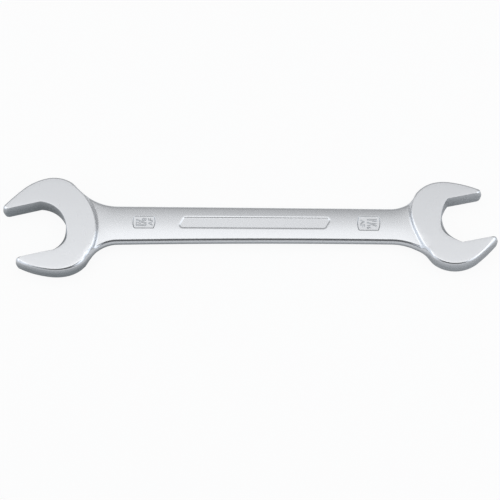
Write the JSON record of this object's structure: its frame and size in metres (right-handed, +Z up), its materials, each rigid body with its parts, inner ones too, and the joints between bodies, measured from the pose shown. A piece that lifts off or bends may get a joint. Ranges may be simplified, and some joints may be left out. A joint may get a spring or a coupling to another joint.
{
  "type": "open end wrench",
  "caption": "Open end wrench forged in one piece, with an angled jaw at each end of a flat crowned shank, for turning hexagon nuts and bolt heads.",
  "frame": {"origin": "middle of the outer box in plan, on the surface that the undersides of both heads lie on", "axes": "+X along the shank towards the smaller head, +Y across the shank in the plane of the heads, +Z up, square to the faces of the heads, out of the face that carries the size marks"},
  "size_m": [0.4254, 0.0896, 0.0164],
  "materials": {
    "satin_chrome": "satin chrome plate over forged and ground steel"
  },
  "bodies": {
    "root": {"wrench_forging": "satin_chrome"}
  },
  "joints": []
}
